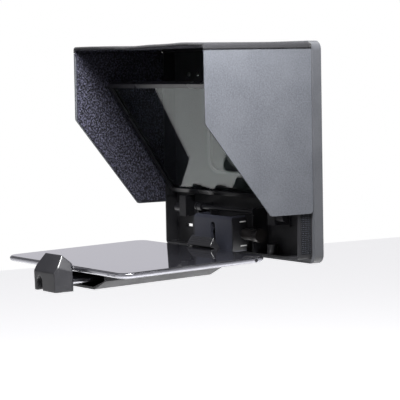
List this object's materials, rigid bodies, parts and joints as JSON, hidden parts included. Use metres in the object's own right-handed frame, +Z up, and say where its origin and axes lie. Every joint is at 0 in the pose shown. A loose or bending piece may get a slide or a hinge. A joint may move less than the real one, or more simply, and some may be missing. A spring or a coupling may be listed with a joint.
{
  "type": "teleprompter",
  "caption": "Folding tablet teleprompter: box frame with lens ring, tilting beam splitter, lift-off fabric hood and hinged tray with a sliding claw.",
  "frame": {"origin": "centre of the lens ring's rear face, on the optical axis", "axes": "+Y along the optical axis towards the camera, +Z up, +X to the right seen from the presenter's side"},
  "size_m": [0.2586, 0.2535, 0.2448],
  "materials": {
    "frame_shell": "fine texture",
    "inner_black": "matte",
    "bezel_grey": "satin",
    "ring_metal": "black anodised",
    "screw_steel": "satin",
    "shaft_steel": "satin",
    "hook_tape": "hook texture",
    "hinge_black": "satin",
    "mirror_frame": "satin",
    "beam_splitter": "half-silvered coating",
    "hood_fabric": "black woven",
    "hood_lining": "black loop pile",
    "hood_shell": "fine grain",
    "knob_black": "satin",
    "bracket_slate": "satin",
    "index_white": "printed",
    "tray_plastic": "matte",
    "claw_plastic": "fine texture",
    "pad_rubber": "matte",
    "tablet_metal": "anodised with a polished edge",
    "tablet_glass": "gloss"
  },
  "bodies": {
    "box": {"front_box": "inner_black", "rear_rim": "frame_shell", "back_panel": "inner_black", "window_bezel": "bezel_grey", "ring_plate": "inner_black", "lens_ring": "ring_metal", "ring_screws": "screw_steel", "panel_screws": "screw_steel", "top_tape": "hook_tape", "side_tape_right": "hook_tape", "side_tape_left": "hook_tape", "mirror_bearing_right": "inner_black", "mirror_bearing_left": "inner_black", "hinge_cheek_right": "hinge_black", "hinge_cheek_left": "hinge_black", "cheek_screws": "screw_steel", "pivot_shaft": "shaft_steel", "cross_rod": "hinge_black", "rod_drum": "hinge_black", "rod_cap_right": "hinge_black", "rod_cap_left": "hinge_black", "yoke_plate_right": "hinge_black", "yoke_plate_left": "hinge_black", "side_bracket_right": "hinge_black", "side_bracket_left": "hinge_black", "side_roller_right": "hinge_black", "side_roller_left": "hinge_black", "corner_post_right": "hinge_black", "corner_post_left": "hinge_black"},
    "mirror": {"mirror_bar_right": "mirror_frame", "mirror_bar_left": "mirror_frame", "mirror_bar_bottom": "mirror_frame", "mirror_bar_top": "mirror_frame", "mirror_glass": "beam_splitter", "mirror_pin_right": "shaft_steel", "mirror_pin_left": "shaft_steel"},
    "hood_top": {"hood_top_panel": "hood_fabric", "hood_top_lining": "hood_lining", "hood_hem_right": "hood_fabric", "hood_hem_left": "hood_fabric"},
    "hood_right": {"hood_side_board_right": "hood_shell", "hood_side_lining_right": "hood_lining"},
    "hood_left": {"hood_side_board_left": "hood_shell", "hood_side_lining_left": "hood_lining"},
    "knob": {"clamp_knob": "knob_black"},
    "tray": {"tray_bracket": "bracket_slate", "index_marks": "index_white", "tray_neck": "tray_plastic", "tray_housing": "tray_plastic", "rod_bulkhead": "tray_plastic", "rest_pads": "pad_rubber", "rear_claw": "claw_plastic"},
    "claw": {"front_claw": "claw_plastic", "front_claw_hook": "claw_plastic", "guide_rods": "shaft_steel"},
    "tablet": {"tablet_body": "tablet_metal", "tablet_screen": "tablet_glass", "tablet_buttons": "tablet_metal"}
  },
  "joints": [
    {"name": "mirror_tilt", "type": "hinge", "parent": "box", "child": "mirror", "pos_m": [0, -0.0248, -0.0604], "axis": [1, 0, 0], "range_deg": [-34, 11]},
    {"name": "tray_tilt", "type": "hinge", "parent": "box", "child": "tray", "pos_m": [0, -0.0372, -0.1009], "axis": [1, 0, 0], "range_deg": [-60, 10]},
    {"name": "claw_slide", "type": "slide", "parent": "tray", "child": "claw", "axis": [0, -0.9995, -0.0314], "range_m": [0, 0.028], "stiffness_N_per_m": 200, "springref_m": -0.03},
    {"name": "tablet_slide", "type": "slide", "parent": "tray", "child": "tablet", "axis": [1, 0, 0], "range_m": [0, 0.26]},
    {"name": "knob_turn", "type": "hinge", "parent": "box", "child": "knob", "pos_m": [0, -0.0372, -0.1009], "axis": [1, 0, 0], "range_deg": [0, 360]},
    {"name": "hood_lift", "type": "slide", "parent": "box", "child": "hood_top", "axis": [0, 0, 1], "range_m": [0, 0.19]},
    {"name": "hood_right_fold", "type": "hinge", "parent": "hood_top", "child": "hood_right", "pos_m": [0.12725, -0.0302, 0.08985], "axis": [0, -1, 0], "range_deg": [0, 90]},
    {"name": "hood_left_fold", "type": "hinge", "parent": "hood_top", "child": "hood_left", "pos_m": [-0.12725, -0.0302, 0.08985], "axis": [0, 1, 0], "range_deg": [0, 90]}
  ]
}
